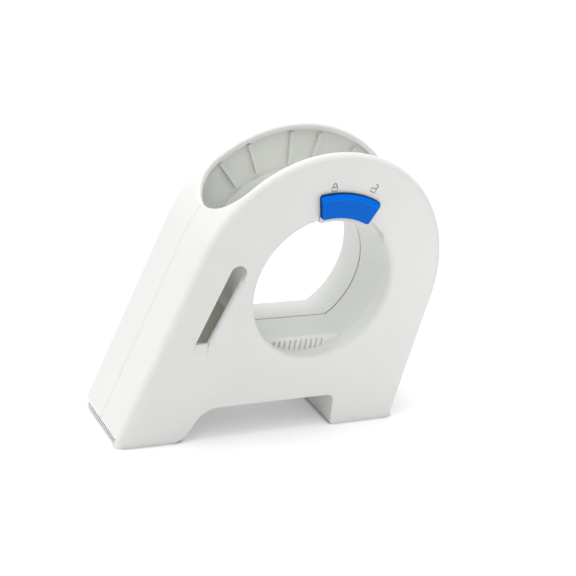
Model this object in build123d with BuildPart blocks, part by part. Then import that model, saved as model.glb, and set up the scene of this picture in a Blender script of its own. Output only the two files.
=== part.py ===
from build123d import *

import os
from math import cos, degrees, hypot, radians, sin, sqrt, tan

# Masking tape applicator: two moulded half shells round the hub of a tape roll, parted at
# mid-width, a sliding lock key with a bayonet latch, and a nose with a toothed blade and a
# guide roller. Millimetres. The origin is the hub's axis on the parting plane, +X points to
# the rear, -Y to the side with the key, +Z up.

os.makedirs("parts", exist_ok=True)

# Housing
body_width = 43.9
nose_width = 41.2
drum_radius = 63.7
wall = 2.5
floor_drop = 73.4
front_angle = 162.5
back_angle = -7.9
taper_start_x = -22.0
edge_radius = 3.2
side_face_share = 0.9
inner_corner_radius = 1.0
parting_gap = 0.02
overrun = 6.0
quarter_turn = 90.0
half_width = body_width / 2
half_gap = parting_gap / 2
inner_width = half_width - wall

# Arch between the feet
arch_height = 16.7
arch_front_x = -58.4
arch_slope = 59.0
arch_toe_radius = 8.6
arch_crown_radius = 11.0
foot_front_x = 19.5
foot_lean = 95.0
foot_crown_radius = 4.0
foot_corner_radius = 1.5

# Hub: the body's sleeve seats the roll's core and the cover's tube plugs into it; the bore is a
# finger hole with a flat floor
hub_radius = 37.4
sleeve_thickness = 1.0
sleeve_gap = 0.3
hub_seam = 2.0
hub_seam_gap = 0.4
waist_wall = 2.5
waist_floor_rise = 6.9
near_wall = 1.2
near_floor_rise = 7.0
far_wall = 1.6
far_floor_rise = 6.8
bore_far_rounding = 0.8
seam_chamfer = 0.35
mouth_depth = 6.65
mouth_draw = 0.4
mouth_shift_x = 1.6
mouth_shift_z = -1.2
mouth_rounding = 2.6
mouth_rounding_steps = 5
shoulder_step = 2.6
stop_ring_step = 3.8
stop_ring_height = 2.0
half_seam_gap = hub_seam_gap / 2
ring_depth = half_width - mouth_depth
sleeve_end = ring_depth - wall - sleeve_gap
sleeve_inner_radius = hub_radius - sleeve_thickness
tube_radius = sleeve_inner_radius - sleeve_gap
bore_waist_radius = tube_radius - waist_wall
bore_waist_drop = bore_waist_radius - waist_floor_rise
bore_near_radius = tube_radius - near_wall
bore_near_drop = bore_near_radius - near_floor_rise
bore_far_radius = hub_radius - far_wall
bore_far_drop = bore_far_radius - far_floor_rise
mouth_radius = bore_near_radius - mouth_draw
shoulder_radius = hub_radius + shoulder_step
stop_ring_radius = hub_radius + stop_ring_step

# Grip ridges on the end face of the bore's flat floor
ridge_count = 10
ridge_pitch = 2.78
ridge_groove_width = 1.2
ridge_groove_depth = 0.7
ridge_crest_height = 1.7
ridge_first_x = -15.3
ridge_groove_drop = bore_near_drop + ridge_crest_height

# Opening over the top of the drum
opening_far_reach = 15.75
opening_front_angle = 132.3
opening_back_angle = 41.7
opening_lip_rounding = 1.2
opening_round_radius = (inner_width + opening_far_reach) / 2

# Slot window in the cover, along the front band
slot_inset = 14.77
slot_low_drop = 24.4
slot_angle = 71.0
slot_foot_width = 7.05
slot_top_width = 8.0
slot_length = 40.9
slot_round_radius = 3.8
slot_edge_radius = 2.2
ramp_depth = 1.5
ramp_run = 7.0

# Nose
lip_drop = 69.0
lip_thickness = 1.2
blade_seat_rise = 10.7
tape_gap = 1.0
far_cut_ahead = 4.4

# Blade
blade_thickness = 0.5
blade_end_gap = 1.1
blade_width = nose_width - 2 * (wall + blade_end_gap)
blade_reach = 3.2
blade_rise = 6.5
blade_gap = 0.2
tooth_count = 22
tooth_depth = 1.2
blade_peg_radius = 0.9
blade_peg_rise = 3.6
blade_peg_offset = 11.0
peg_clearance = 0.05

# Blade holder and its screws
holder_thickness = 1.5
holder_drop_gap = 0.5
holder_rise = 10.5
holder_width = 33.0
flange_height = 6.0
flange_step = 1.5
flange_start = 1.5
flange_end = 15.8
holder_boss_height = 1.5
holder_boss_radius = 2.4
screw_offset = 4.4
screw_shank_radius = 0.88
screw_head_radius = 1.9
screw_head_height = 1.2
screw_hole_clearance = 0.02
screw_skin = 1.0
screw_recess_radius = 0.55
screw_recess_depth = 0.6
screw_recess_sides = 6
flange_middle = (flange_start + flange_end) / 2
screw_row = -holder_rise - flange_height / 2

# Guide roller
roller_radius = 4.6
roller_length = 31.0
roller_inset = 9.0
roller_rise = 1.6
roller_drop = lip_drop - roller_rise
roller_groove_radius = 4.1
roller_groove_width = 1.0
roller_groove_count = 5
axle_radius = 1.5
running_clearance = 0.05
axle_boss_radius = 3.0
axle_boss_gap = 0.3
axle_near_seat = 1.8
axle_far_seat = 3.0

# Lock key
key_start_angle = 62.0
key_end_angle = 103.0
key_turn_angle = 20.0
key_overhang = 0.3
key_brim = 2.4
key_height = 2.0
key_gap = 0.15
key_corner_radius = 1.5
key_bevel_width = 2.4
key_bevel_depth = 1.0
key_edge_radius = 0.35
key_stem_margin = 3.6
key_stem_radius = 1.4
key_stem_low_angle = 85.0
key_stem_high_angle = 98.5
key_slot_clearance = 0.3
key_inner_radius = bore_near_radius - key_overhang
key_stem_orbit = shoulder_radius + key_stem_margin
key_outer_radius = key_stem_orbit + key_brim

# Retainer plate behind the cover's wall
retainer_inner_reach = 1.5
retainer_outer_reach = 2.8
retainer_thickness = 1.6
retainer_gap = 0.2
retainer_start_angle = 82.0
retainer_end_angle = 114.0
notch_radius = 0.8
retainer_inner_radius = key_stem_orbit - retainer_inner_reach
retainer_outer_radius = key_stem_orbit + retainer_outer_reach

# Latch slider
arm_lift = 0.4
arm_thickness = 1.2
arm_start_angle = 76.0
arm_end_angle = 89.0
neck_end_angle = 82.0
pad_overhang = 2.1
pad_brim = 1.2
pad_depth = 3.0
pad_run_out_angle = 14.0
ledge_depth = 1.9
hook_depth = 2.1
hook_gap = 0.2
latch_gap = 0.3
latch_gap_angle = 0.7
pin_radius = 0.6
pin_length = 2.2
pin_margin = 0.2
pin_margin_angle = 6.0
arm_inner_radius = bore_waist_radius + arm_lift
arm_outer_radius = arm_inner_radius + arm_thickness
pad_inner_radius = mouth_radius - pad_overhang
pad_outer_radius = arm_outer_radius + pad_brim
pin_orbit = arm_outer_radius + pin_margin

# Detent spring in the cover
detent_clearance = 0.7
detent_thickness = 0.4
detent_width = 1.5
detent_start_angle = 70.0
detent_end_angle = 112.0
detent_post_radius = 1.2
detent_bump_radius = 0.5
detent_bump_angle = 91.5
detent_radius = retainer_outer_radius + detent_clearance

# Ribs inside both walls, in pairs round the hub
rib_pair_step_angle = 36.0
rib_pair_split_angle = 15.0
rib_first_angle = -64.0
rib_pair_count = 7
rib_height = 1.8
rib_width = 1.4
rib_inner_gap = 2.3
rib_outer_gap = 2.2
rib_detent_gap = 3.9
rib_inner_radius = stop_ring_radius + rib_inner_gap
cover_rib_inner_radius = detent_radius + rib_detent_gap
rib_outer_radius = drum_radius - wall - rib_outer_gap

# Brake spring on the far wall
brake_angle = -90.0
brake_margin = 8.8
brake_length = 26.0
brake_width = 7.0
brake_thickness = 0.4
brake_crown = 1.6
brake_tab_length = 6.0
brake_boss_radius = 2.9
brake_boss_height = 0.6
brake_orbit = stop_ring_radius + brake_margin

# Pegs that line the halves up
guide_peg_radius = 1.5
guide_peg_length = 5.0
guide_boss_radius = 3.4
guide_peg_clearance = 0.06
rear_peg_behind = 20.5
rear_peg_rise = 11.4
nose_peg_behind = 14.1
nose_peg_rise = 4.9


def side(depth):
    """The plane parallel to the side walls, `depth` from the parting plane towards the key's side."""
    return Plane.XZ.offset(depth)


def front_point(inset, drop):
    """The front band's line, moved `inset` into the body, at `drop` below the hub's axis."""
    a = radians(front_angle)
    return (drum_radius - inset + drop * sin(a)) / cos(a), -drop


def back_point(inset, drop):
    a = radians(back_angle)
    return (drum_radius - inset + drop * sin(a)) / cos(a), -drop


def leaning_x(foot_x, lean, shift, drop):
    """x at `drop` of a line that leaves the floor at foot_x and leans, moved square to itself."""
    return foot_x + shift / sin(radians(lean)) + (floor_drop - drop) / tan(radians(lean))


def polar(radius, angle):
    return radius * cos(radians(angle)), radius * sin(radians(angle))


def profile(inset):
    """The side outline, moved `inset` inwards: drum, straight front and back, two feet, arch."""
    low = floor_drop - inset
    crown = floor_drop - arch_height - inset
    reach = drum_radius - inset
    nose = front_point(inset, low)
    toe = (leaning_x(arch_front_x, arch_slope, -inset, low), -low)
    crown_front = (leaning_x(arch_front_x, arch_slope, -inset, crown), -crown)
    crown_back = (leaning_x(foot_front_x, foot_lean, inset, crown), -crown)
    foot = (leaning_x(foot_front_x, foot_lean, inset, low), -low)
    heel = back_point(inset, low)
    corner = foot_corner_radius if inset == 0 else inner_corner_radius
    with BuildSketch() as outline:
        with BuildLine():
            FilletPolyline(
                polar(reach, front_angle), nose, toe, crown_front, crown_back, foot, heel,
                polar(reach, back_angle),
                radius=[0, arch_toe_radius - inset, arch_crown_radius + inset,
                        foot_crown_radius + inset, corner, 0],
            )
            ThreePointArc(polar(reach, back_angle), (0, reach), polar(reach, front_angle))
        make_face()
    return outline.sketch


def plan(inset):
    """The plan outline, moved `inset` inwards: level sides that draw in towards the nose."""
    tip_x = front_point(0, floor_drop)[0]
    wide = half_width - inset
    narrow = nose_width / 2 - inset
    end_x = drum_radius + overrun
    with BuildSketch() as outline:
        with BuildLine():
            Polyline((taper_start_x, wide), (end_x, wide), (end_x, -wide), (taper_start_x, -wide))
            TangentArc((taper_start_x, -wide), (tip_x, -narrow), tangent=(-1, 0))
            Polyline((tip_x, -narrow), (tip_x - overrun, -narrow), (tip_x - overrun, narrow),
                     (tip_x, narrow))
            TangentArc((taper_start_x, wide), (tip_x, narrow), tangent=(-1, 0))
        make_face()
    return outline.sketch


def block(inset):
    """The cover half's outer form, or with `wall` its hollow."""
    start = 0 if inset else half_gap
    with BuildPart() as form:
        with BuildSketch(side(start)):
            add(profile(inset))
        extrude(amount=half_width - inset - start)
        with BuildSketch(Plane.XY.offset(-floor_drop - overrun)):
            add(plan(inset))
        extrude(amount=floor_drop + drum_radius + 2 * overrun, mode=Mode.INTERSECT)
    return form.part


def band_edges(part):
    """The edges between the outer side face and the bands, without those of the feet and the arch."""
    faces = part.faces().filter_by(lambda f: -f.normal_at().Y > side_face_share)
    shared = [e for f in faces for e in f.edges()]
    rim = [e for e in shared if sum(e.is_same(other) for other in shared) == 1]
    return [e for e in rim if e.bounding_box().max.Z > arch_height - floor_drop + inner_corner_radius]


def rounded_block():
    """The cover half's outer form with the edges of its bands rounded."""
    with BuildPart() as form:
        add(block(0))
        fillet(band_edges(form.part), edge_radius)
    return form.part


def sector(inner, outer, start, end):
    """A ring sector between two radii and two angles."""
    with BuildSketch() as shape:
        with BuildLine():
            middle = (start + end) / 2
            ThreePointArc(polar(outer, start), polar(outer, middle), polar(outer, end))
            Line(polar(outer, end), polar(inner, end))
            ThreePointArc(polar(inner, end), polar(inner, middle), polar(inner, start))
            Line(polar(inner, start), polar(outer, start))
        make_face()
    return shape.sketch


def bore_section(radius, drop, widening):
    """The bore's section: a circle cut off level by the flat floor, all moved outwards by widening."""
    reach = radius + widening
    low = drop + widening
    half = sqrt(reach**2 - low**2)
    with BuildSketch() as shape:
        with BuildLine():
            ThreePointArc((half, -low), (0, reach), (-half, -low))
            Line((-half, -low), (half, -low))
        make_face()
    return shape.sketch


def bore(toward, end_radius, end_drop, length, rounding):
    """The finger hole in one half: chamfered at the hub's seam, it widens from there to its end."""
    rim = half_seam_gap + seam_chamfer
    sections = [(0, bore_waist_radius, bore_waist_drop, seam_chamfer),
                (rim, bore_waist_radius, bore_waist_drop, 0)]
    for step in range(mouth_rounding_steps + 1 if rounding else 1):
        turn = radians(step * quarter_turn / mouth_rounding_steps)
        sections.append((length - rounding * (1 - sin(turn)), end_radius, end_drop,
                         rounding * (1 - cos(turn))))
    with BuildPart() as hole:
        for depth, radius, drop, widening in sections:
            with BuildSketch(side(toward * depth - hub_seam)):
                add(bore_section(radius, drop, widening))
        loft(ruled=True)
    return hole.part


def mouth():
    """The round, off-centre mouth of the bore in the cover, with its rounded rim."""
    with BuildPart() as cutter:
        with BuildSketch(side(ring_depth)):
            Circle(bore_near_radius)
        for step in range(mouth_rounding_steps + 1):
            turn = radians(step * quarter_turn / mouth_rounding_steps)
            with BuildSketch(side(half_width - mouth_rounding * (1 - sin(turn)))):
                with Locations((mouth_shift_x, mouth_shift_z)):
                    Circle(mouth_radius + mouth_rounding * (1 - cos(turn)))
        loft(ruled=True)
        with BuildSketch(side(half_width)):
            with Locations((mouth_shift_x, mouth_shift_z)):
                Circle(mouth_radius + mouth_rounding)
        extrude(amount=overrun)
    return cutter.part


def ribs(toward, inner):
    """Radial ribs on a side wall, in pairs round the hub, from the radius `inner` outwards."""
    with BuildPart() as fan:
        with BuildSketch(side(toward * (inner_width - rib_height))):
            for pair in range(rib_pair_count):
                for turn in (0, rib_pair_split_angle):
                    angle = rib_first_angle + pair * rib_pair_step_angle + turn
                    with Locations(Location((*polar((inner + rib_outer_radius) / 2, angle), 0), angle)):
                        Rectangle(rib_outer_radius - inner, rib_width)
        extrude(amount=toward * (rib_height + wall / 2))
    return fan.part


def top_opening():
    """The cutter of the opening in the top of the drum, with its rounded ends."""
    low_radius = drum_radius - 2 * wall
    middle = opening_round_radius - inner_width
    with BuildPart() as cutter:
        with BuildSketch(side(-opening_far_reach)):
            add(sector(low_radius, drum_radius + overrun, opening_back_angle, opening_front_angle))
        extrude(amount=2 * opening_round_radius)
        for angle in (opening_back_angle, opening_front_angle):
            x, z = polar(low_radius, angle)
            with BuildSketch(Plane(origin=(x, middle, z), z_dir=(x, 0, z))):
                Circle(opening_round_radius)
            extrude(amount=2 * wall + overrun)
    return cutter.part


def lip_edges(part):
    """The outer edges of the opening in the top of the drum."""
    return [
        e for e in part.edges()
        if all(hypot(e.position_at(t).X, e.position_at(t).Z) > drum_radius - parting_gap for t in (0, 1))
        and e.bounding_box().max.Y < opening_far_reach + parting_gap
        and e.bounding_box().min.Z > 0
        and e.length > opening_far_reach
    ]


def slot_foot():
    return slot_low_x + slot_foot_width, slot_low_z


def slot_window():
    """The slot's cutter, with the rounding of its rear edge."""
    along = (cos(radians(slot_angle)), sin(radians(slot_angle)))
    foot = slot_foot()
    top = (slot_low_x + slot_length * along[0], slot_low_z + slot_length * along[1])
    back_top = (top[0] + slot_top_width * along[1], top[1] - slot_top_width * along[0])
    back_edge = Vector(back_top[0] - foot[0], 0, back_top[1] - foot[1]).normalized()
    edge_plane = Plane(
        origin=(foot[0], -half_width, foot[1]), x_dir=(back_edge.Z, 0, -back_edge.X), z_dir=back_edge
    )
    short = slot_edge_radius * (1 - cos(radians(quarter_turn / 2)))
    with BuildPart() as cutter:
        with BuildSketch(side(inner_width - overrun)) as opening:
            with BuildLine():
                Polyline((slot_low_x, slot_low_z), foot, back_top, top, close=True)
            make_face()
            fillet(opening.vertices().sort_by(Axis.Y)[-2:], slot_round_radius)
        extrude(amount=wall + 2 * overrun)
        with BuildSketch(edge_plane):
            with BuildLine():
                ThreePointArc((0, slot_edge_radius), (short, short), (slot_edge_radius, 0))
                Polyline((slot_edge_radius, 0), (slot_edge_radius, -overrun), (-slot_round_radius, -overrun),
                         (-slot_round_radius, slot_edge_radius), (0, slot_edge_radius))
            make_face()
        extrude(amount=slot_length - slot_top_width)
    return cutter.part


def slot_ramp():
    """The cutter of the shallow ramp that leads up into the slot from below."""
    foot = slot_foot()
    low_x = slot_low_x - ramp_run / tan(radians(slot_angle))
    with BuildPart() as cutter:
        with BuildSketch(Plane(origin=(foot[0], -half_width, foot[1]), x_dir=(0, 0, 1), z_dir=(-1, 0, 0))):
            with BuildLine():
                Polyline((-ramp_run, 0), (0, ramp_depth), (0, -overrun), (-ramp_run, -overrun), close=True)
            make_face()
        extrude(amount=foot[0] - low_x)
        with BuildSketch(side(inner_width)):
            with BuildLine():
                Polyline((slot_low_x, foot[1]), foot, (foot[0], foot[1] - ramp_run),
                         (low_x, foot[1] - ramp_run), close=True)
            make_face()
        extrude(amount=wall + overrun, mode=Mode.INTERSECT)
    return cutter.part


def ridge_grooves():
    """Upright grooves in the end face of the flat floor, where the bore passes into its mouth."""
    low = (bore_near_radius + ridge_groove_drop) / 2
    with BuildPart() as grooves:
        with BuildSketch(side(ring_depth - ridge_groove_depth)):
            for i in range(ridge_count):
                with Locations((ridge_first_x + i * ridge_pitch, -low)):
                    Rectangle(ridge_groove_width, bore_near_radius - ridge_groove_drop)
            Circle(bore_near_radius, mode=Mode.INTERSECT)
        extrude(amount=ridge_groove_depth)
    return grooves.part


def front_plane(inset):
    """The plane parallel to the front band at the lip: local x across, y down, z outwards."""
    x, z = front_point(0, lip_drop)
    out = Vector(cos(radians(front_angle)), 0, sin(radians(front_angle)))
    return Plane(origin=Vector(x, 0, z) - out * inset, x_dir=(0, 1, 0), z_dir=out)


def nose_cut():
    """The cutter of the nose: the way out for the tape and the blade's seat behind the lip."""
    narrow = nose_width / 2 - wall
    tip_x = front_point(0, floor_drop)[0]
    with BuildPart() as cutter:
        with BuildSketch(Plane.XY.offset(-lip_drop)):
            with BuildLine():
                Polyline((tip_x - overrun, -narrow), (tape_way_back_x, -narrow), (tape_way_back_x, narrow),
                         (tip_x - overrun, narrow), close=True)
            make_face()
        extrude(amount=lip_drop - floor_drop - overrun)
        with BuildSketch(front_plane(lip_thickness)):
            with BuildLine():
                Polyline((-narrow, -blade_seat_rise), (narrow, -blade_seat_rise), (narrow, wall),
                         (-narrow, wall), close=True)
            make_face()
        extrude(amount=-wall)
    return cutter.part


def far_corner_cut():
    """The far wall's lower front corner, left open so the tape can be laid in from the side."""
    tip_x = front_point(0, floor_drop)[0]
    with BuildPart() as cutter:
        with BuildSketch(Plane.XY.offset(-lip_drop)):
            with BuildLine():
                Polyline((tip_x - overrun, 0), (far_cut_x, 0), (far_cut_x, half_width + overrun),
                         (tip_x - overrun, half_width + overrun), close=True)
            make_face()
        extrude(amount=lip_drop - floor_drop - overrun)
    return cutter.part


def post(x, z, radius, start, end):
    """A round post or hole along Y from one depth to another."""
    with BuildPart() as shape:
        with BuildSketch(side(start)):
            with Locations((x, z)):
                Circle(radius)
        extrude(amount=end - start)
    return shape.part


def stem_slot():
    """The curved slot in the cover's wall in which the key's stems run."""
    play = key_stem_radius + key_slot_clearance
    end_angle = degrees(play / key_stem_orbit)
    start = key_stem_low_angle - key_turn_angle - end_angle
    with BuildPart() as cutter:
        with BuildSketch(side(inner_width - overrun)):
            add(sector(key_stem_orbit - play, key_stem_orbit + play, start,
                       key_stem_high_angle + end_angle))
        extrude(amount=wall + 2 * overrun)
    return cutter.part


def latch_run(outer, start_angle, end_angle, start, end):
    """A groove in the bore's roof for a part of the latch that reaches out to `outer`."""
    with BuildPart() as cutter:
        with BuildSketch(side(start)):
            add(sector(bore_waist_radius / 2, outer + latch_gap, start_angle - latch_gap_angle,
                       end_angle + latch_gap_angle))
        extrude(amount=end - start)
    return cutter.part


def pad_recess():
    """The room for the latch's pad in the mouth, running out into the mouth's wall."""
    reach = pad_outer_radius + latch_gap
    low_angle = key_start_angle - key_turn_angle - latch_gap_angle
    with BuildPart() as cutter:
        add(latch_run(pad_outer_radius, key_start_angle - key_turn_angle, key_end_angle, pad_floor,
                      half_width + overrun))
        with BuildSketch(side(pad_floor)):
            with BuildLine():
                Polyline((0, 0), polar(reach, low_angle + latch_gap_angle), polar(reach, low_angle),
                         polar(bore_near_radius, low_angle - pad_run_out_angle), close=True)
            make_face()
        extrude(amount=wall + pad_depth)
    return cutter.part


def along_brake(shift):
    """A place on the brake spring's line, `shift` from its middle."""
    x, z = polar(brake_orbit, brake_angle)
    return x - shift * sin(radians(brake_angle)), z + shift * cos(radians(brake_angle))


roller_x, roller_z = front_point(roller_inset, roller_drop)
tape_way_back_x = roller_x + roller_radius + tape_gap
far_cut_x = roller_x - far_cut_ahead
slot_low_x, slot_low_z = front_point(slot_inset, slot_low_drop)
guide_pegs = (
    (foot_front_x + rear_peg_behind, rear_peg_rise - floor_drop),
    (roller_x + nose_peg_behind, roller_z + nose_peg_rise),
)
brake_tab_middle = (brake_length - brake_tab_length) / 2
brake_screw_place = along_brake(brake_tab_middle)
boss_start = roller_length / 2 + axle_boss_gap
pad_floor = half_width - pad_depth
ledge_back = hub_seam + ledge_depth
hook_front = ledge_back + hook_gap
hook_back = hook_front + hook_depth
neck_front = half_seam_gap + latch_gap - hub_seam

with BuildPart() as cover_shell:
    add(rounded_block())
    add(block(wall), mode=Mode.SUBTRACT)
    add(ribs(1, cover_rib_inner_radius))
    add(post(0, 0, tube_radius, half_seam_gap - hub_seam, inner_width + wall / 2))
    add(post(0, 0, shoulder_radius, ring_depth - wall, inner_width + wall / 2))
    add(bore(1, bore_near_radius, bore_near_drop, ring_depth + hub_seam, 0), mode=Mode.SUBTRACT)
    add(mouth(), mode=Mode.SUBTRACT)
    add(stem_slot(), mode=Mode.SUBTRACT)
    add(latch_run(arm_outer_radius, arm_start_angle - key_turn_angle, arm_end_angle, -hub_seam, pad_floor),
        mode=Mode.SUBTRACT)
    add(pad_recess(), mode=Mode.SUBTRACT)
    for x, z in guide_pegs:
        add(post(x, z, guide_boss_radius, half_gap, inner_width + wall / 2))
        add(post(x, z, guide_peg_radius, -guide_peg_length, wall))
    add(post(roller_x, roller_z, axle_boss_radius, boss_start, inner_width))
    add(post(roller_x, roller_z, axle_radius + running_clearance, boss_start,
             boss_start + axle_near_seat + axle_boss_gap), mode=Mode.SUBTRACT)
    for angle in (detent_start_angle, detent_end_angle):
        x, z = polar(detent_radius + detent_thickness + detent_post_radius, angle)
        add(post(x, z, detent_post_radius, inner_width - detent_width, inner_width + wall / 2))
    add(top_opening(), mode=Mode.SUBTRACT)
    add(slot_window(), mode=Mode.SUBTRACT)
    add(slot_ramp(), mode=Mode.SUBTRACT)
    add(nose_cut(), mode=Mode.SUBTRACT)
    add(ridge_grooves(), mode=Mode.SUBTRACT)
cover_shell.part.label = "cover_shell"

with BuildPart() as body_shell:
    mirror(rounded_block(), about=Plane.XZ)
    mirror(block(wall), about=Plane.XZ, mode=Mode.SUBTRACT)
    add(ribs(-1, rib_inner_radius))
    add(post(0, 0, hub_radius, sleeve_end, -inner_width - wall / 2))
    add(post(0, 0, sleeve_inner_radius, sleeve_end, -half_seam_gap - hub_seam), mode=Mode.SUBTRACT)
    add(post(0, 0, stop_ring_radius, stop_ring_height - inner_width, -inner_width - wall / 2))
    add(bore(-1, bore_far_radius, bore_far_drop, half_width - hub_seam, bore_far_rounding),
        mode=Mode.SUBTRACT)
    add(latch_run(arm_outer_radius, arm_start_angle - key_turn_angle, neck_end_angle, -hub_seam,
                  -ledge_back), mode=Mode.SUBTRACT)
    add(latch_run(arm_outer_radius, arm_start_angle - key_turn_angle, arm_end_angle, -ledge_back,
                  -hook_back - latch_gap), mode=Mode.SUBTRACT)
    for x, z in guide_pegs:
        add(post(x, z, guide_boss_radius, -half_gap, -inner_width - wall / 2))
        add(post(x, z, guide_peg_radius + guide_peg_clearance, 0, -guide_peg_length - latch_gap),
            mode=Mode.SUBTRACT)
    add(top_opening(), mode=Mode.SUBTRACT)
    fillet(lip_edges(body_shell.part), opening_lip_rounding)
    add(nose_cut(), mode=Mode.SUBTRACT)
    add(far_corner_cut(), mode=Mode.SUBTRACT)
    add(post(roller_x, roller_z, axle_boss_radius, -boss_start, -inner_width))
    add(post(roller_x, roller_z, axle_radius + screw_hole_clearance, -boss_start,
             -boss_start - axle_far_seat - latch_gap), mode=Mode.SUBTRACT)
    for across in (-screw_offset, screw_offset):
        at = (flange_middle + across, screw_row)
        with BuildSketch(front_plane(wall + holder_boss_height)):
            with Locations(at):
                Circle(holder_boss_radius)
        extrude(amount=holder_boss_height + wall / 2)
        with BuildSketch(front_plane(wall + holder_boss_height)):
            with Locations(at):
                Circle(screw_shank_radius + screw_hole_clearance)
        extrude(amount=holder_boss_height + wall - screw_skin, mode=Mode.SUBTRACT)
    for shift in (-brake_tab_middle, brake_tab_middle):
        add(post(*along_brake(shift), brake_boss_radius, brake_boss_height - inner_width,
                 -inner_width - wall / 2))
    add(post(*brake_screw_place, screw_shank_radius + screw_hole_clearance,
             brake_boss_height - inner_width, screw_skin - half_width), mode=Mode.SUBTRACT)
body_shell.part.label = "body_shell"

key_back = half_width + key_gap
retainer_back = inner_width - retainer_gap


def bevel_cone():
    """The cone that cuts the bevel along the key's outer arc."""
    top_radius = key_outer_radius - key_bevel_width
    foot_radius = top_radius + key_bevel_width * key_height / key_bevel_depth
    with BuildPart() as cone:
        with BuildSketch(side(key_back)):
            Circle(foot_radius)
        with BuildSketch(side(key_back + key_height)):
            Circle(top_radius)
        loft()
    return cone.part


with BuildPart() as lock_key:
    with BuildSketch(side(key_back)) as key_face:
        add(sector(key_inner_radius, key_outer_radius, key_start_angle, key_end_angle))
        fillet(key_face.vertices(), key_corner_radius)
    extrude(amount=key_height)
    add(bevel_cone(), mode=Mode.INTERSECT)
    fillet(lock_key.faces().sort_by(Axis.Y)[0].edges(), key_edge_radius)
    for angle in (key_stem_low_angle, key_stem_high_angle):
        x, z = polar(key_stem_orbit, angle)
        add(post(x, z, key_stem_radius, key_back + key_gap, retainer_back - retainer_thickness))
    for angle in (key_start_angle + pin_margin_angle, key_end_angle - pin_margin_angle):
        x, z = polar(pin_orbit, angle)
        add(post(x, z, pin_radius, key_back + key_gap, key_back - pin_length))
lock_key.part.label = "lock_key"

with BuildPart() as key_retainer:
    with BuildSketch(side(retainer_back - retainer_thickness)):
        add(sector(retainer_inner_radius, retainer_outer_radius, retainer_start_angle,
                   retainer_end_angle))
        for angle in (key_stem_low_angle, key_stem_high_angle):
            with Locations(polar(key_stem_orbit, angle)):
                Circle(key_stem_radius + screw_hole_clearance, mode=Mode.SUBTRACT)
        for angle in (detent_bump_angle, detent_bump_angle + key_turn_angle):
            with Locations(polar(retainer_outer_radius, angle)):
                Circle(notch_radius, mode=Mode.SUBTRACT)
    extrude(amount=retainer_thickness)
key_retainer.part.label = "key_retainer"

with BuildPart() as latch_slider:
    with BuildSketch(side(key_back)):
        add(sector(pad_inner_radius, pad_outer_radius, key_start_angle, key_end_angle))
    extrude(amount=-pad_depth)
    for start_angle, end_angle, start, end in (
        (arm_start_angle, arm_end_angle, key_back - pad_depth, neck_front),
        (arm_start_angle, neck_end_angle, neck_front, -hook_front),
        (arm_start_angle, arm_end_angle, -hook_front, -hook_back),
    ):
        with BuildSketch(side(start)):
            add(sector(arm_inner_radius, arm_outer_radius, start_angle, end_angle))
        extrude(amount=end - start)
    for angle in (key_start_angle + pin_margin_angle, key_end_angle - pin_margin_angle):
        x, z = polar(pin_orbit, angle)
        add(post(x, z, pin_radius + screw_hole_clearance, key_back, key_back - pin_length - hook_gap),
            mode=Mode.SUBTRACT)
latch_slider.part.label = "latch_slider"

with BuildPart() as detent_spring:
    with BuildSketch(side(inner_width - detent_width)):
        add(sector(detent_radius, detent_radius + detent_thickness, detent_start_angle,
                   detent_end_angle))
        with Locations(polar(detent_radius, detent_bump_angle)):
            Circle(detent_bump_radius)
    extrude(amount=detent_width - retainer_gap)
detent_spring.part.label = "detent_spring"

blade_back = lip_thickness + blade_gap + blade_thickness
tooth_pitch = blade_width / tooth_count
with BuildPart() as cutting_blade:
    with BuildSketch(front_plane(blade_back)):
        with BuildLine():
            teeth = []
            for i in range(tooth_count):
                start = -blade_width / 2 + i * tooth_pitch
                teeth += [(start, blade_reach - tooth_depth), (start + tooth_pitch / 2, blade_reach)]
            Polyline(*teeth, (blade_width / 2, blade_reach - tooth_depth), (blade_width / 2, -blade_rise),
                     (-blade_width / 2, -blade_rise), close=True)
        make_face()
        with Locations((-blade_peg_offset, -blade_peg_rise), (blade_peg_offset, -blade_peg_rise)):
            Circle(blade_peg_radius + peg_clearance, mode=Mode.SUBTRACT)
    extrude(amount=blade_thickness)
cutting_blade.part.label = "cutting_blade"

flange_face = wall + holder_boss_height
flange_back = flange_face + holder_thickness
with BuildPart() as blade_holder:
    with BuildSketch(front_plane(blade_back + holder_thickness)):
        with Locations((0, -(holder_rise + holder_drop_gap) / 2)):
            Rectangle(holder_width, holder_rise - holder_drop_gap)
    extrude(amount=holder_thickness)
    with BuildSketch(front_plane(flange_back)):
        with Locations((flange_middle, screw_row + flange_step / 2)):
            Rectangle(flange_end - flange_start, flange_height + flange_step)
    extrude(amount=holder_thickness)
    with BuildSketch(front_plane(flange_back)):
        with Locations((flange_middle, flange_step / 2 - holder_rise)):
            Rectangle(flange_end - flange_start, flange_step)
    extrude(amount=flange_back - blade_back)
    with BuildSketch(front_plane(flange_back)):
        with Locations((flange_middle - screw_offset, screw_row),
                       (flange_middle + screw_offset, screw_row)):
            Circle(screw_shank_radius + peg_clearance)
    extrude(amount=holder_thickness, mode=Mode.SUBTRACT)
    with BuildSketch(front_plane(blade_back)):
        with Locations((-blade_peg_offset, -blade_peg_rise), (blade_peg_offset, -blade_peg_rise)):
            Circle(blade_peg_radius)
    extrude(amount=blade_thickness)
blade_holder.part.label = "blade_holder"

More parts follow.
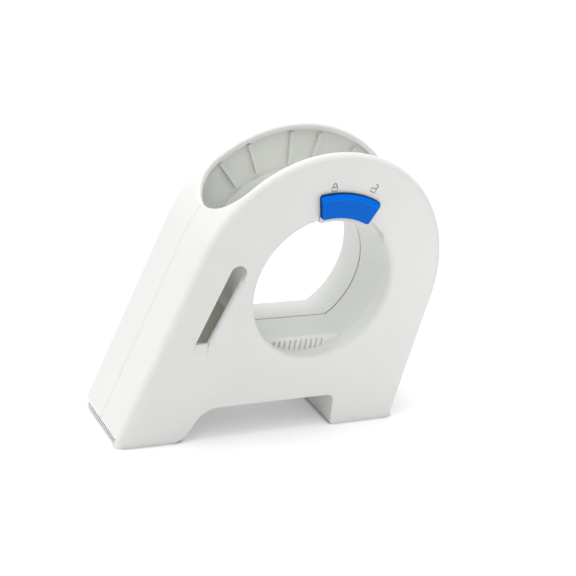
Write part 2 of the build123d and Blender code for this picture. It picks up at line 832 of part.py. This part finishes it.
with BuildPart() as blade_screws:
    for across in (-screw_offset, screw_offset):
        at = (flange_middle + across, screw_row)
        with BuildSketch(front_plane(flange_back + screw_head_height)):
            with Locations(at):
                Circle(screw_head_radius)
        extrude(amount=screw_head_height)
        with BuildSketch(front_plane(flange_back)):
            with Locations(at):
                Circle(screw_shank_radius)
        extrude(amount=flange_back - screw_skin - latch_gap)
        with BuildSketch(front_plane(flange_back + screw_head_height)):
            with Locations(at):
                RegularPolygon(screw_recess_radius, screw_recess_sides)
        extrude(amount=screw_recess_depth, mode=Mode.SUBTRACT)
blade_screws.part.label = "blade_screws"

with BuildPart() as guide_roller:
    with BuildSketch(side(-roller_length / 2)):
        with Locations((roller_x, roller_z)):
            Circle(roller_radius)
            Circle(axle_radius + running_clearance, mode=Mode.SUBTRACT)
    extrude(amount=roller_length)
    groove_pitch = roller_length / (roller_groove_count + 1)
    for i in range(roller_groove_count):
        with BuildSketch(side(-roller_length / 2 + (i + 1) * groove_pitch - roller_groove_width / 2)):
            with Locations((roller_x, roller_z)):
                Circle(roller_radius + overrun)
                Circle(roller_groove_radius, mode=Mode.SUBTRACT)
        extrude(amount=roller_groove_width, mode=Mode.SUBTRACT)
guide_roller.part.label = "guide_roller"

with BuildPart() as roller_axle:
    add(post(roller_x, roller_z, axle_radius, boss_start + axle_near_seat, -boss_start - axle_far_seat))
roller_axle.part.label = "roller_axle"

brake_x, brake_z = polar(brake_orbit, brake_angle)
brake_tangent = (-sin(radians(brake_angle)), 0, cos(radians(brake_angle)))
brake_outward = Vector(cos(radians(brake_angle)), 0, sin(radians(brake_angle)))
brake_half = brake_length / 2
brake_flat = brake_half - brake_tab_length
with BuildPart() as brake_spring:
    strip_plane = Plane(
        origin=Vector(brake_x, inner_width - brake_boss_height, brake_z) - brake_outward * (brake_width / 2),
        x_dir=brake_tangent,
        z_dir=brake_outward,
    )
    with BuildSketch(strip_plane):
        with BuildLine():
            Line((-brake_half, 0), (-brake_flat, 0))
            ThreePointArc((-brake_flat, 0), (0, brake_crown), (brake_flat, 0))
            Polyline((brake_flat, 0), (brake_half, 0), (brake_half, brake_thickness),
                     (brake_flat, brake_thickness))
            ThreePointArc((brake_flat, brake_thickness), (0, brake_crown + brake_thickness),
                          (-brake_flat, brake_thickness))
            Polyline((-brake_flat, brake_thickness), (-brake_half, brake_thickness),
                     (-brake_half, 0))
        make_face()
    extrude(amount=brake_width)
    add(post(*brake_screw_place, screw_shank_radius + peg_clearance, -inner_width, overrun - inner_width),
        mode=Mode.SUBTRACT)
brake_spring.part.label = "brake_spring"

brake_top = inner_width - brake_boss_height - brake_thickness
with BuildPart() as brake_screw:
    add(post(*brake_screw_place, screw_head_radius, screw_head_height - brake_top, -brake_top))
    add(post(*brake_screw_place, screw_shank_radius, -brake_top, -half_width + screw_skin + latch_gap))
    with BuildSketch(side(screw_head_height - brake_top)):
        with Locations(brake_screw_place):
            RegularPolygon(screw_recess_radius, screw_recess_sides)
    extrude(amount=-screw_recess_depth, mode=Mode.SUBTRACT)
brake_screw.part.label = "brake_screw"

pieces = (
    cover_shell, body_shell, lock_key, key_retainer, latch_slider, detent_spring, cutting_blade,
    blade_holder, blade_screws, guide_roller, roller_axle, brake_spring, brake_screw,
)
for piece in pieces:
    export_step(piece.part, f"parts/{piece.part.label}.step")
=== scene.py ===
"""Masking tape applicator: materials, lock marks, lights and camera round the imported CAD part.

Lengths are in metres in the CAD frame: the hub's axis is Y, the nose points to -X, the lock key is on
the -Y side and +Z is up.
"""
from math import cos, pi, radians, sin

import bpy
from mathutils import Matrix, Vector


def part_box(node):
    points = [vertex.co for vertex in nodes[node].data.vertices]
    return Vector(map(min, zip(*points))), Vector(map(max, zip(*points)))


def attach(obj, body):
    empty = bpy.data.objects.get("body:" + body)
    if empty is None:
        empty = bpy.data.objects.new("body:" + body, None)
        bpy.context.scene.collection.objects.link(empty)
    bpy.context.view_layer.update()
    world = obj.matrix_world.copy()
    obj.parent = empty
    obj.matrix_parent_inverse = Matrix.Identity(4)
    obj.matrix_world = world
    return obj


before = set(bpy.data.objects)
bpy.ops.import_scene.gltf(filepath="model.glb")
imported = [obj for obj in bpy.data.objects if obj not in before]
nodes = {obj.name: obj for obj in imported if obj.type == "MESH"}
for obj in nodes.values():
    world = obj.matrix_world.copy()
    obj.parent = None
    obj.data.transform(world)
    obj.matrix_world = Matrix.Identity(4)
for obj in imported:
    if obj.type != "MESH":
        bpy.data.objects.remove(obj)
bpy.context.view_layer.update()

MM = 0.001
WHITE = (1, 1, 1, 1)

# Unevenness of the colours and the gloss
NOISE_LOW = 0.3
NOISE_HIGH = 0.7
FINE_DETAIL = 2.0
TINT_DETAIL = 3.0
PLAIN_SPECULAR = 0.5
PLASTIC_TINT_SHARE = 0.012
PLASTIC_TINT_SCALE = 45.0
PLASTIC_GLOSS_SCALE = 160.0
PLASTIC_GLOSS_SPREAD = 0.04
GRAIN_STRENGTH = 0.5
STEEL_TINT_SHARE = 0.05
STEEL_TINT_SCALE = 300.0
STEEL_GLOSS_SPREAD = 0.1

# Edges that handling has rubbed: full and no wear are at these matches of the two normals
WEAR_REACH = 0.5 * MM
WEAR_GAIN = 0.05
WEAR_SAMPLES = 4
WEAR_FULL_AT = 0.8
WEAR_NONE_AT = 0.98

# Painted shade in the hub's seam, darkening its narrow gap inside: it counts as shut or clear by how
# open it is within the reach
SEAM_Y = 2.0 * MM
SEAM_HALF = 0.3 * MM
SEAM_ORBIT = 38.5 * MM
SEAM_SHADE = 0.12
SEAM_REACH = 2.0 * MM
SEAM_SHUT = 0.35
SEAM_CLEAR = 0.5

# Key: its face and its sides with painted shade are told apart by the normal's Y, its rim with a painted
# highlight and its line of painted shade by their orbit
KEY_SIDE_SHADE = 0.3
KEY_FACE_NORMAL_Y = -0.85
KEY_SIDE_NORMAL_Y = -0.45
KEY_RIM_START = 42.7 * MM
KEY_RIM_STEP = 0.6 * MM
KEY_RIM_GAIN = 1.2
KEY_SHADE_LINE_START = 45.4 * MM
KEY_SHADE_LINE_STEP = 0.3 * MM
KEY_SHADE_LINE_GAIN = 0.3

# Blade, with painted shade in the gaps between its teeth and a painted shadow under the lip
BLADE_WIDTH = 34.0 * MM
TOOTH_COUNT = 22
TOOTH_PITCH = BLADE_WIDTH / TOOTH_COUNT
TOOTH_ROOT_Z = -70.95 * MM
TOOTH_ROOT_STEP = 0.1 * MM
TOOTH_GAP_SHADE = 0.0
TOOTH_GAP_SHARE = 0.23
TOOTH_FLANK_SHARE = 0.27
LIP_SHADE_Z = -70.0 * MM
LIP_SHADE_HALF = 0.45 * MM

# Camera, from the photograph's vanishing lines and the hub's circles
CAMERA_PLACE = Vector((-314.7, -489.4, 250.6)) * MM
CAMERA_RIGHT = Vector((0.86998, -0.46418, 0.16634))
CAMERA_DOWN = Vector((-0.06261, -0.43860, -0.89650))
CAMERA_LENS = 86.48
SENSOR_WIDTH = 36.0
CLIP_START = 0.01
CLIP_END = 100.0

# Light
HORIZON = 0.44
ZENITH = 2.65
LIGHT_BASE = 0.6
LIGHT_LEAN = (-0.22, 0.13, 0.0)
LAMP_SIZE = 0.35
LAMP_POWER = 1.7
LAMP_PLACE = Vector((-0.15, 0.03, 0.7))
SIDE_SIZE = 0.1
SIDE_POWER = 0.13
SIDE_PLACE = Vector((0.18, -0.22, -0.06))
GLOW_WIDTH = 0.085
GLOW_HEIGHT = 0.012
GLOW_POWER = 0.0036
GLOW_PLACE = Vector((-0.002, -0.0185, 0.05))
FILL_PLACE = Vector((-0.045, 0.002, -0.036))
FILL_SIZE = 0.005
FILL_POWER = 0.003
FILL_COLOUR = (1.0, 0.98, 0.88)

# Floor: a painted contact shadow is full or gone by how open the floor is within the reach
FLOOR_SIDE = 12.0
FLOOR_GLOW = 0.1
FLOOR_TONE = 0.88
CONTACT_REACH = 3.0 * MM
CONTACT_SHADE = 0.3
CONTACT_SAMPLES = 8
CONTACT_FULL_AT = 0.35
CONTACT_NONE_AT = 0.85

# Lock marks, raised on the cover over the key's two places, in a dark grey that is painted shade for the
# embossed lines
MARK_HEIGHT = 3.6 * MM
MARK_LINE = 0.5 * MM
MARK_RISE = 0.12 * MM
MARK_SINK = 0.02 * MM
MARK_HALF_SHARE = 0.36
SHACKLE_RADIUS_SHARE = 0.62
SHACKLE_RISE_SHARE = 0.26
SHACKLE_STEPS = 8
CLOSED_ORBIT, CLOSED_ANGLE, CLOSED_TURN = 48.6 * MM, 94.0, 0
OPEN_ORBIT, OPEN_ANGLE, OPEN_TURN = 50.3 * MM, 70.3, -38
UPRIGHT = 90


def empty_tree(owner, output_kind):
    """The node tree of a material or a world with nothing but its output, and the output's socket."""
    owner.use_nodes = True
    tree = owner.node_tree
    tree.nodes.clear()
    return tree, tree.nodes.new(output_kind).inputs["Surface"]


def feed(tree, value, socket):
    """Sets the socket to a plain value, or links another socket to it."""
    if isinstance(value, bpy.types.NodeSocket):
        tree.links.new(value, socket)
    else:
        socket.default_value = value


def ramp(tree, value, span=(0.0, 1.0), result=(0.0, 1.0)):
    """The value, mapped from one span of numbers to another and held at its ends."""
    node = tree.nodes.new("ShaderNodeMapRange")
    feed(tree, value, node.inputs["Value"])
    for name, end in zip(("From Min", "From Max", "To Min", "To Max"), (*span, *result)):
        feed(tree, end, node.inputs[name])
    return node.outputs["Result"]


def number(tree, operation, *values):
    """One operation on numbers."""
    node = tree.nodes.new("ShaderNodeMath")
    node.operation = operation
    for value, socket in zip(values, node.inputs):
        feed(tree, value, socket)
    return node.outputs["Value"]


def vector(tree, operation, *values):
    """One operation on vectors: its node, which has both a vector and a number as outputs."""
    node = tree.nodes.new("ShaderNodeVectorMath")
    node.operation = operation
    for value, socket in zip(values, node.inputs):
        feed(tree, value, socket)
    return node


def scaled(tree, source, factor):
    """The colour, times the factor."""
    node = vector(tree, "SCALE", source)
    feed(tree, factor, node.inputs["Scale"])
    return node.outputs["Vector"]


def own_place(tree):
    """The place in the piece's own coordinates."""
    return tree.nodes.new("ShaderNodeTexCoord").outputs["Object"]


def along(tree, place, axis):
    """One coordinate of a place or a direction."""
    parts = tree.nodes.new("ShaderNodeSeparateXYZ")
    tree.links.new(place, parts.inputs["Vector"])
    return parts.outputs[axis]


def openness(tree, distance):
    """How open the surface is within the distance, from 0 to 1: its node."""
    node = tree.nodes.new("ShaderNodeAmbientOcclusion")
    node.inputs["Distance"].default_value = distance
    return node


def new_material(name):
    material = bpy.data.materials.new(name)
    tree, surface = empty_tree(material, "ShaderNodeOutputMaterial")
    shader = tree.nodes.new("ShaderNodeBsdfPrincipled")
    tree.links.new(shader.outputs["BSDF"], surface)
    return material, tree, shader


def noise(tree, scale, detail, low, high):
    """A noise value from low to high, in the piece's own coordinates."""
    field = tree.nodes.new("ShaderNodeTexNoise")
    field.inputs["Scale"].default_value = scale
    field.inputs["Detail"].default_value = detail
    tree.links.new(own_place(tree), field.inputs["Vector"])
    return ramp(tree, field.outputs["Fac"], (NOISE_LOW, NOISE_HIGH), (low, high))


def bump(tree, shader, scale, depth):
    """A fine grain on the surface."""
    node = tree.nodes.new("ShaderNodeBump")
    node.inputs["Distance"].default_value = depth
    node.inputs["Strength"].default_value = GRAIN_STRENGTH
    tree.links.new(noise(tree, scale, FINE_DETAIL, 0.0, 1.0), node.inputs["Height"])
    tree.links.new(node.outputs["Normal"], shader.inputs["Normal"])


def rubbed_edges(tree, level):
    """Raises the level a little along the edges, where a rounded edge's normal leaves the face's own."""
    rounded = tree.nodes.new("ShaderNodeBevel")
    rounded.samples = WEAR_SAMPLES
    rounded.inputs["Radius"].default_value = WEAR_REACH
    face = tree.nodes.new("ShaderNodeNewGeometry")
    match = vector(tree, "DOT_PRODUCT", rounded.outputs["Normal"], face.outputs["Normal"])
    wear = ramp(tree, match.outputs["Value"], (WEAR_FULL_AT, WEAR_NONE_AT), (WEAR_GAIN, 0.0))
    return number(tree, "ADD", level, wear)


def tint(tree, shader, colour, share, scale):
    """The base colour, uneven by `share` of its brightness, and lighter where an edge is rubbed."""
    level = rubbed_edges(tree, noise(tree, scale, TINT_DETAIL, 1.0 - share, 1.0 + share))
    tree.links.new(scaled(tree, colour, level), shader.inputs["Base Color"])


def plastic(name, colour, roughness, grain_scale, grain_depth, specular=PLAIN_SPECULAR):
    """Moulded plastic with a fine grain."""
    material, tree, shader = new_material(name)
    tint(tree, shader, colour, PLASTIC_TINT_SHARE, PLASTIC_TINT_SCALE)
    gloss = noise(tree, PLASTIC_GLOSS_SCALE, FINE_DETAIL,
                  roughness - PLASTIC_GLOSS_SPREAD, roughness + PLASTIC_GLOSS_SPREAD)
    tree.links.new(gloss, shader.inputs["Roughness"])
    shader.inputs["Specular IOR Level"].default_value = specular
    bump(tree, shader, grain_scale, grain_depth)
    return material


def steel(name, colour, roughness, line_scale):
    """Steel whose gloss varies in fine grinding lines, by a noise with its own scale along each axis."""
    material, tree, shader = new_material(name)
    shader.inputs["Metallic"].default_value = 1.0
    tint(tree, shader, colour, STEEL_TINT_SHARE, STEEL_TINT_SCALE)
    stretch = tree.nodes.new("ShaderNodeMapping")
    stretch.inputs["Scale"].default_value = line_scale
    field = tree.nodes.new("ShaderNodeTexNoise")
    field.inputs["Scale"].default_value = 1.0
    tree.links.new(own_place(tree), stretch.inputs["Vector"])
    tree.links.new(stretch.outputs["Vector"], field.inputs["Vector"])
    spread = (roughness - STEEL_GLOSS_SPREAD, roughness + STEEL_GLOSS_SPREAD)
    tree.links.new(ramp(tree, field.outputs["Fac"], result=spread), shader.inputs["Roughness"])
    return material


def dim_colour(tree, factor):
    """Multiplies the base colour by the factor."""
    shader = next(n for n in tree.nodes if n.type == "BSDF_PRINCIPLED")
    socket = shader.inputs["Base Color"]
    tree.links.new(scaled(tree, socket.links[0].from_socket, factor), socket)


def hub_distance(tree):
    """The distance from the hub's axis, in the piece's own coordinates."""
    flat = vector(tree, "MULTIPLY", own_place(tree), (1.0, 0.0, 1.0))
    return vector(tree, "LENGTH", flat.outputs["Vector"]).outputs["Value"]


def paint_side_shade(material, shade):
    """Painted shade: the base colour is darkened on the walls that don't face -Y, the key's sides."""
    tree = material.node_tree
    face = tree.nodes.new("ShaderNodeNewGeometry")
    facing = along(tree, face.outputs["True Normal"], "Y")
    dim_colour(tree, ramp(tree, facing, (KEY_FACE_NORMAL_Y, KEY_SIDE_NORMAL_Y), (1.0, shade)))


def paint_seam_shade(material):
    """Painted shade: the narrow gap between the two halves of the hub is darkened inside where it is
    shut in, while the halves are together.
    """
    tree = material.node_tree
    near = number(tree, "COMPARE", along(tree, own_place(tree), "Y"), SEAM_Y, SEAM_HALF)
    inside = number(tree, "LESS_THAN", hub_distance(tree), SEAM_ORBIT)
    seam = number(tree, "MULTIPLY", near, inside)
    nearby = openness(tree, SEAM_REACH)
    shut = ramp(tree, nearby.outputs["AO"], (SEAM_SHUT, SEAM_CLEAR), (SEAM_SHADE, 1.0))
    dim_colour(tree, ramp(tree, seam, result=(1.0, shut)))


def paint_rim_light_and_shade(material):
    """Painted highlight on the key's sloping rim, as if it caught more light, up to a line of painted
    shade where it meets the cover.
    """
    tree = material.node_tree
    orbit = hub_distance(tree)
    for start, step, gain in ((KEY_RIM_START, KEY_RIM_STEP, KEY_RIM_GAIN),
                              (KEY_SHADE_LINE_START, KEY_SHADE_LINE_STEP, KEY_SHADE_LINE_GAIN)):
        dim_colour(tree, ramp(tree, orbit, (start, start + step), (1.0, gain)))


def paint_tooth_gap_and_lip_shade(material):
    """Painted shade: dark stripes in the gaps between the blade's ground teeth, and a painted shadow
    line under the lip over them.
    """
    tree = material.node_tree
    place = own_place(tree)
    wave = number(tree, "PINGPONG", along(tree, place, "Y"), TOOTH_PITCH / 2)
    flank = (TOOTH_PITCH * TOOTH_GAP_SHARE, TOOTH_PITCH * TOOTH_FLANK_SHARE)
    gap = ramp(tree, wave, flank, (TOOTH_GAP_SHADE, 1.0))
    height = along(tree, place, "Z")
    over_teeth = ramp(tree, height, (TOOTH_ROOT_Z, TOOTH_ROOT_Z + TOOTH_ROOT_STEP))
    dim_colour(tree, number(tree, "MAXIMUM", gap, over_teeth))
    lip = number(tree, "COMPARE", height, LIP_SHADE_Z, LIP_SHADE_HALF)
    dim_colour(tree, number(tree, "SUBTRACT", 1.0, lip))


shell_white = plastic("shell_white", colour=(0.70, 0.711, 0.69), roughness=0.46,
                      grain_scale=1500.0, grain_depth=0.03 * MM)
inner_white = plastic("inner_white", colour=(0.70, 0.71, 0.69), roughness=0.5,
                      grain_scale=1200.0, grain_depth=0.03 * MM)
roller_grey = plastic("roller_grey", colour=(0.55, 0.56, 0.55), roughness=0.4,
                      grain_scale=900.0, grain_depth=0.02 * MM)
key_blue = plastic("key_blue", colour=(0.0, 0.125, 0.60), roughness=0.4,
                   grain_scale=1500.0, grain_depth=0.02 * MM, specular=0.04)
# Painted shade: the marks' dark grey stands for the shading of embossed lines in the shell's colour
mark_shade_grey = plastic("mark_shade_grey", colour=(0.27, 0.28, 0.27), roughness=0.5,
                    grain_scale=1500.0, grain_depth=0.02 * MM)
blade_steel = steel("blade_steel", colour=(0.90, 0.91, 0.92), roughness=0.38,
                    line_scale=(40.0, 40.0, 2500.0))
spring_steel = steel("spring_steel", colour=(0.5, 0.5, 0.5), roughness=0.35,
                     line_scale=(60.0, 1800.0, 60.0))
screw_steel = steel("screw_steel", colour=(0.55, 0.56, 0.57), roughness=0.3,
                    line_scale=(900.0, 900.0, 900.0))

# Painted shade in the hub's seam
paint_seam_shade(shell_white)
# Painted shade on the key's sides
paint_side_shade(key_blue, KEY_SIDE_SHADE)
# Painted highlight on the key's rim, and a line of painted shade beside it
paint_rim_light_and_shade(key_blue)
# Painted shade in the blade's tooth gaps and a painted shadow under its lip
paint_tooth_gap_and_lip_shade(blade_steel)

finishes = {
    "cover_shell": shell_white,
    "body_shell": shell_white,
    "latch_slider": shell_white,
    "lock_key": key_blue,
    "key_retainer": inner_white,
    "blade_holder": inner_white,
    "guide_roller": roller_grey,
    "cutting_blade": blade_steel,
    "detent_spring": spring_steel,
    "brake_spring": spring_steel,
    "blade_screws": screw_steel,
    "brake_screw": screw_steel,
    "roller_axle": screw_steel,
}
for name, material in finishes.items():
    nodes[name].data.materials.clear()
    nodes[name].data.materials.append(material)


def strip(points, width, start, rise, name):
    """A line of even width along points in the X-Z plane, raised towards -Y from the depth `start`."""
    section = ((1, start), (1, start - rise), (-1, start - rise), (-1, start))
    corners = len(section)
    vertices, faces = [], []
    for i, point in enumerate(points):
        before = points[max(i - 1, 0)]
        after = points[min(i + 1, len(points) - 1)]
        heading = (after - before).normalized()
        across = Vector((-heading.y, heading.x)) * width / 2
        for side, depth in section:
            spot = point + side * across
            vertices.append((spot.x, depth, spot.y))
    for i in range(len(points) - 1):
        here, there = corners * i, corners * (i + 1)
        for j in range(corners):
            k = (j + 1) % corners
            faces.append((here + j, here + k, there + k, there + j))
    last = corners * (len(points) - 1)
    faces.append(tuple(reversed(range(corners))))
    faces.append(tuple(range(last, last + corners)))
    mesh = bpy.data.meshes.new(name)
    mesh.from_pydata(vertices, [], faces)
    mesh.validate()
    return mesh


def turned(point, angle):
    """The point, turned round the origin by the angle in degrees."""
    c, s = cos(radians(angle)), sin(radians(angle))
    return Vector((point.x * c - point.y * s, point.x * s + point.y * c))


def padlock(name, orbit, angle, tilt, shackle_turn):
    """A padlock sign: a body's outline, and a shackle that is shut, or turned about its right foot."""
    near_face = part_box("cover_shell")[0].y
    half = MARK_HEIGHT * MARK_HALF_SHARE
    low, middle = -MARK_HEIGHT / 2, 0.0
    outline = ((0, middle), (-half, middle), (-half, low), (half, low), (half, middle), (0, middle))
    body = [Vector(p) for p in outline]
    radius = half * SHACKLE_RADIUS_SHARE
    rise = MARK_HEIGHT * SHACKLE_RISE_SHARE
    foot = Vector((radius, middle))
    bow = [foot]
    for step in range(SHACKLE_STEPS + 1):
        turn = pi * step / SHACKLE_STEPS
        bow.append(Vector((radius * cos(turn), rise + radius * sin(turn))))
    if shackle_turn:
        bow = [foot + turned(p - foot, shackle_turn) for p in bow]
    else:
        bow.append(Vector((-radius, middle)))
    centre = Vector((orbit * cos(radians(angle)), orbit * sin(radians(angle))))
    for part, line in (("body", body), ("bow", bow)):
        placed = [centre + turned(p, tilt) for p in line]
        mesh = strip(placed, MARK_LINE, near_face + MARK_SINK, MARK_RISE, f"{name}_{part}")
        piece = bpy.data.objects.new(f"{name}_{part}", mesh)
        bpy.context.scene.collection.objects.link(piece)
        mesh.materials.append(mark_shade_grey)
        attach(piece, "cover")


padlock("mark_closed", CLOSED_ORBIT, CLOSED_ANGLE, CLOSED_ANGLE - UPRIGHT, CLOSED_TURN)
padlock("mark_open", OPEN_ORBIT, OPEN_ANGLE, OPEN_ANGLE - UPRIGHT, OPEN_TURN)

# Camera
camera_data = bpy.data.cameras.new("camera")
camera_data.sensor_width = SENSOR_WIDTH
camera_data.lens = CAMERA_LENS
camera_data.clip_start = CLIP_START
camera_data.clip_end = CLIP_END
camera = bpy.data.objects.new("camera", camera_data)
bpy.context.scene.collection.objects.link(camera)
up = -CAMERA_DOWN
back = CAMERA_RIGHT.cross(up)
camera.matrix_world = Matrix((
    (CAMERA_RIGHT.x, up.x, back.x, CAMERA_PLACE.x),
    (CAMERA_RIGHT.y, up.y, back.y, CAMERA_PLACE.y),
    (CAMERA_RIGHT.z, up.z, back.z, CAMERA_PLACE.z),
    (0, 0, 0, 1),
))
bpy.context.scene.camera = camera

# Floor: it takes the light and the shadow, and glows a little for the camera, so that it is white
floor_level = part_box("body_shell")[0].z
floor_mesh = bpy.data.meshes.new("floor")
reach = FLOOR_SIDE / 2
floor_corners = [(x * reach, y * reach, floor_level) for x, y in ((-1, -1), (1, -1), (1, 1), (-1, 1))]
floor_mesh.from_pydata(floor_corners, [], [(0, 1, 2, 3)])
floor = bpy.data.objects.new("floor", floor_mesh)
bpy.context.scene.collection.objects.link(floor)
floor_material = bpy.data.materials.new("floor_white")
tree, surface = empty_tree(floor_material, "ShaderNodeOutputMaterial")
# Painted contact shadow: the floor's colour darkens where the body is near
nearby = openness(tree, CONTACT_REACH)
nearby.samples = CONTACT_SAMPLES
contact = ramp(tree, nearby.outputs["AO"], (CONTACT_FULL_AT, CONTACT_NONE_AT),
               (FLOOR_TONE * CONTACT_SHADE, FLOOR_TONE))
matt = tree.nodes.new("ShaderNodeBsdfDiffuse")
tree.links.new(contact, matt.inputs["Color"])
path = tree.nodes.new("ShaderNodeLightPath")
glow = tree.nodes.new("ShaderNodeEmission")
glow.inputs["Color"].default_value = WHITE
glow_strength = number(tree, "MULTIPLY", path.outputs["Is Camera Ray"], FLOOR_GLOW)
tree.links.new(glow_strength, glow.inputs["Strength"])
both = tree.nodes.new("ShaderNodeAddShader")
tree.links.new(matt.outputs["BSDF"], both.inputs[0])
tree.links.new(glow.outputs["Emission"], both.inputs[1])
tree.links.new(both.outputs["Shader"], surface)
floor_mesh.materials.append(floor_material)

# World: plain white to the camera and in reflections. As a light it grows from the horizon to the
# zenith, and it leans to the nose and to the far side
world = bpy.data.worlds.new("world")
bpy.context.scene.world = world
tree, surface = empty_tree(world, "ShaderNodeOutputWorld")
direction = tree.nodes.new("ShaderNodeTexCoord").outputs["Generated"]
height = ramp(tree, along(tree, direction, "Z"), result=(HORIZON, ZENITH))
lean = vector(tree, "DOT_PRODUCT", direction, LIGHT_LEAN)
share = number(tree, "ADD", lean.outputs["Value"], LIGHT_BASE)
soft = number(tree, "MULTIPLY", height, share)
path = tree.nodes.new("ShaderNodeLightPath")
seen = number(tree, "MAXIMUM", path.outputs["Is Camera Ray"], path.outputs["Is Glossy Ray"])
sky = tree.nodes.new("ShaderNodeBackground")
sky.inputs["Color"].default_value = WHITE
tree.links.new(ramp(tree, seen, result=(soft, 1.0)), sky.inputs["Strength"])
tree.links.new(sky.outputs["Background"], surface)


def add_lamp(name, kind, place, power):
    lamp = bpy.data.objects.new(name, bpy.data.lights.new(name, kind))
    lamp.data.energy = power
    bpy.context.scene.collection.objects.link(lamp)
    lamp.location = place
    return lamp


# Lamp: a soft light from above. Side lamp: a weak one from low on the right, on the key's side
for name, place, size, power in (("lamp", LAMP_PLACE, LAMP_SIZE, LAMP_POWER),
                                 ("side_lamp", SIDE_PLACE, SIDE_SIZE, SIDE_POWER)):
    lamp = add_lamp(name, "AREA", place, power)
    lamp.data.shape = "SQUARE"
    lamp.data.size = size
    lamp.rotation_mode = "QUATERNION"
    lamp.rotation_quaternion = (-place).to_track_quat("-Z", "Y")

# Glow: the light that the near wall's thin plastic lets through to the far wall behind the opening
glow_lamp = add_lamp("glow", "AREA", GLOW_PLACE, GLOW_POWER)
glow_lamp.data.shape = "RECTANGLE"
glow_lamp.data.size = GLOW_WIDTH
glow_lamp.data.size_y = GLOW_HEIGHT
glow_lamp.data.color = FILL_COLOUR
glow_lamp.rotation_euler = (pi / 2, 0, 0)
glow_lamp.visible_camera = False
glow_lamp.visible_glossy = False

# Fill: the light that the white walls let through into the drum
fill = add_lamp("fill", "POINT", FILL_PLACE, FILL_POWER)
fill.data.shadow_soft_size = FILL_SIZE
fill.data.color = FILL_COLOUR

bpy.context.scene.view_settings.view_transform = "Standard"
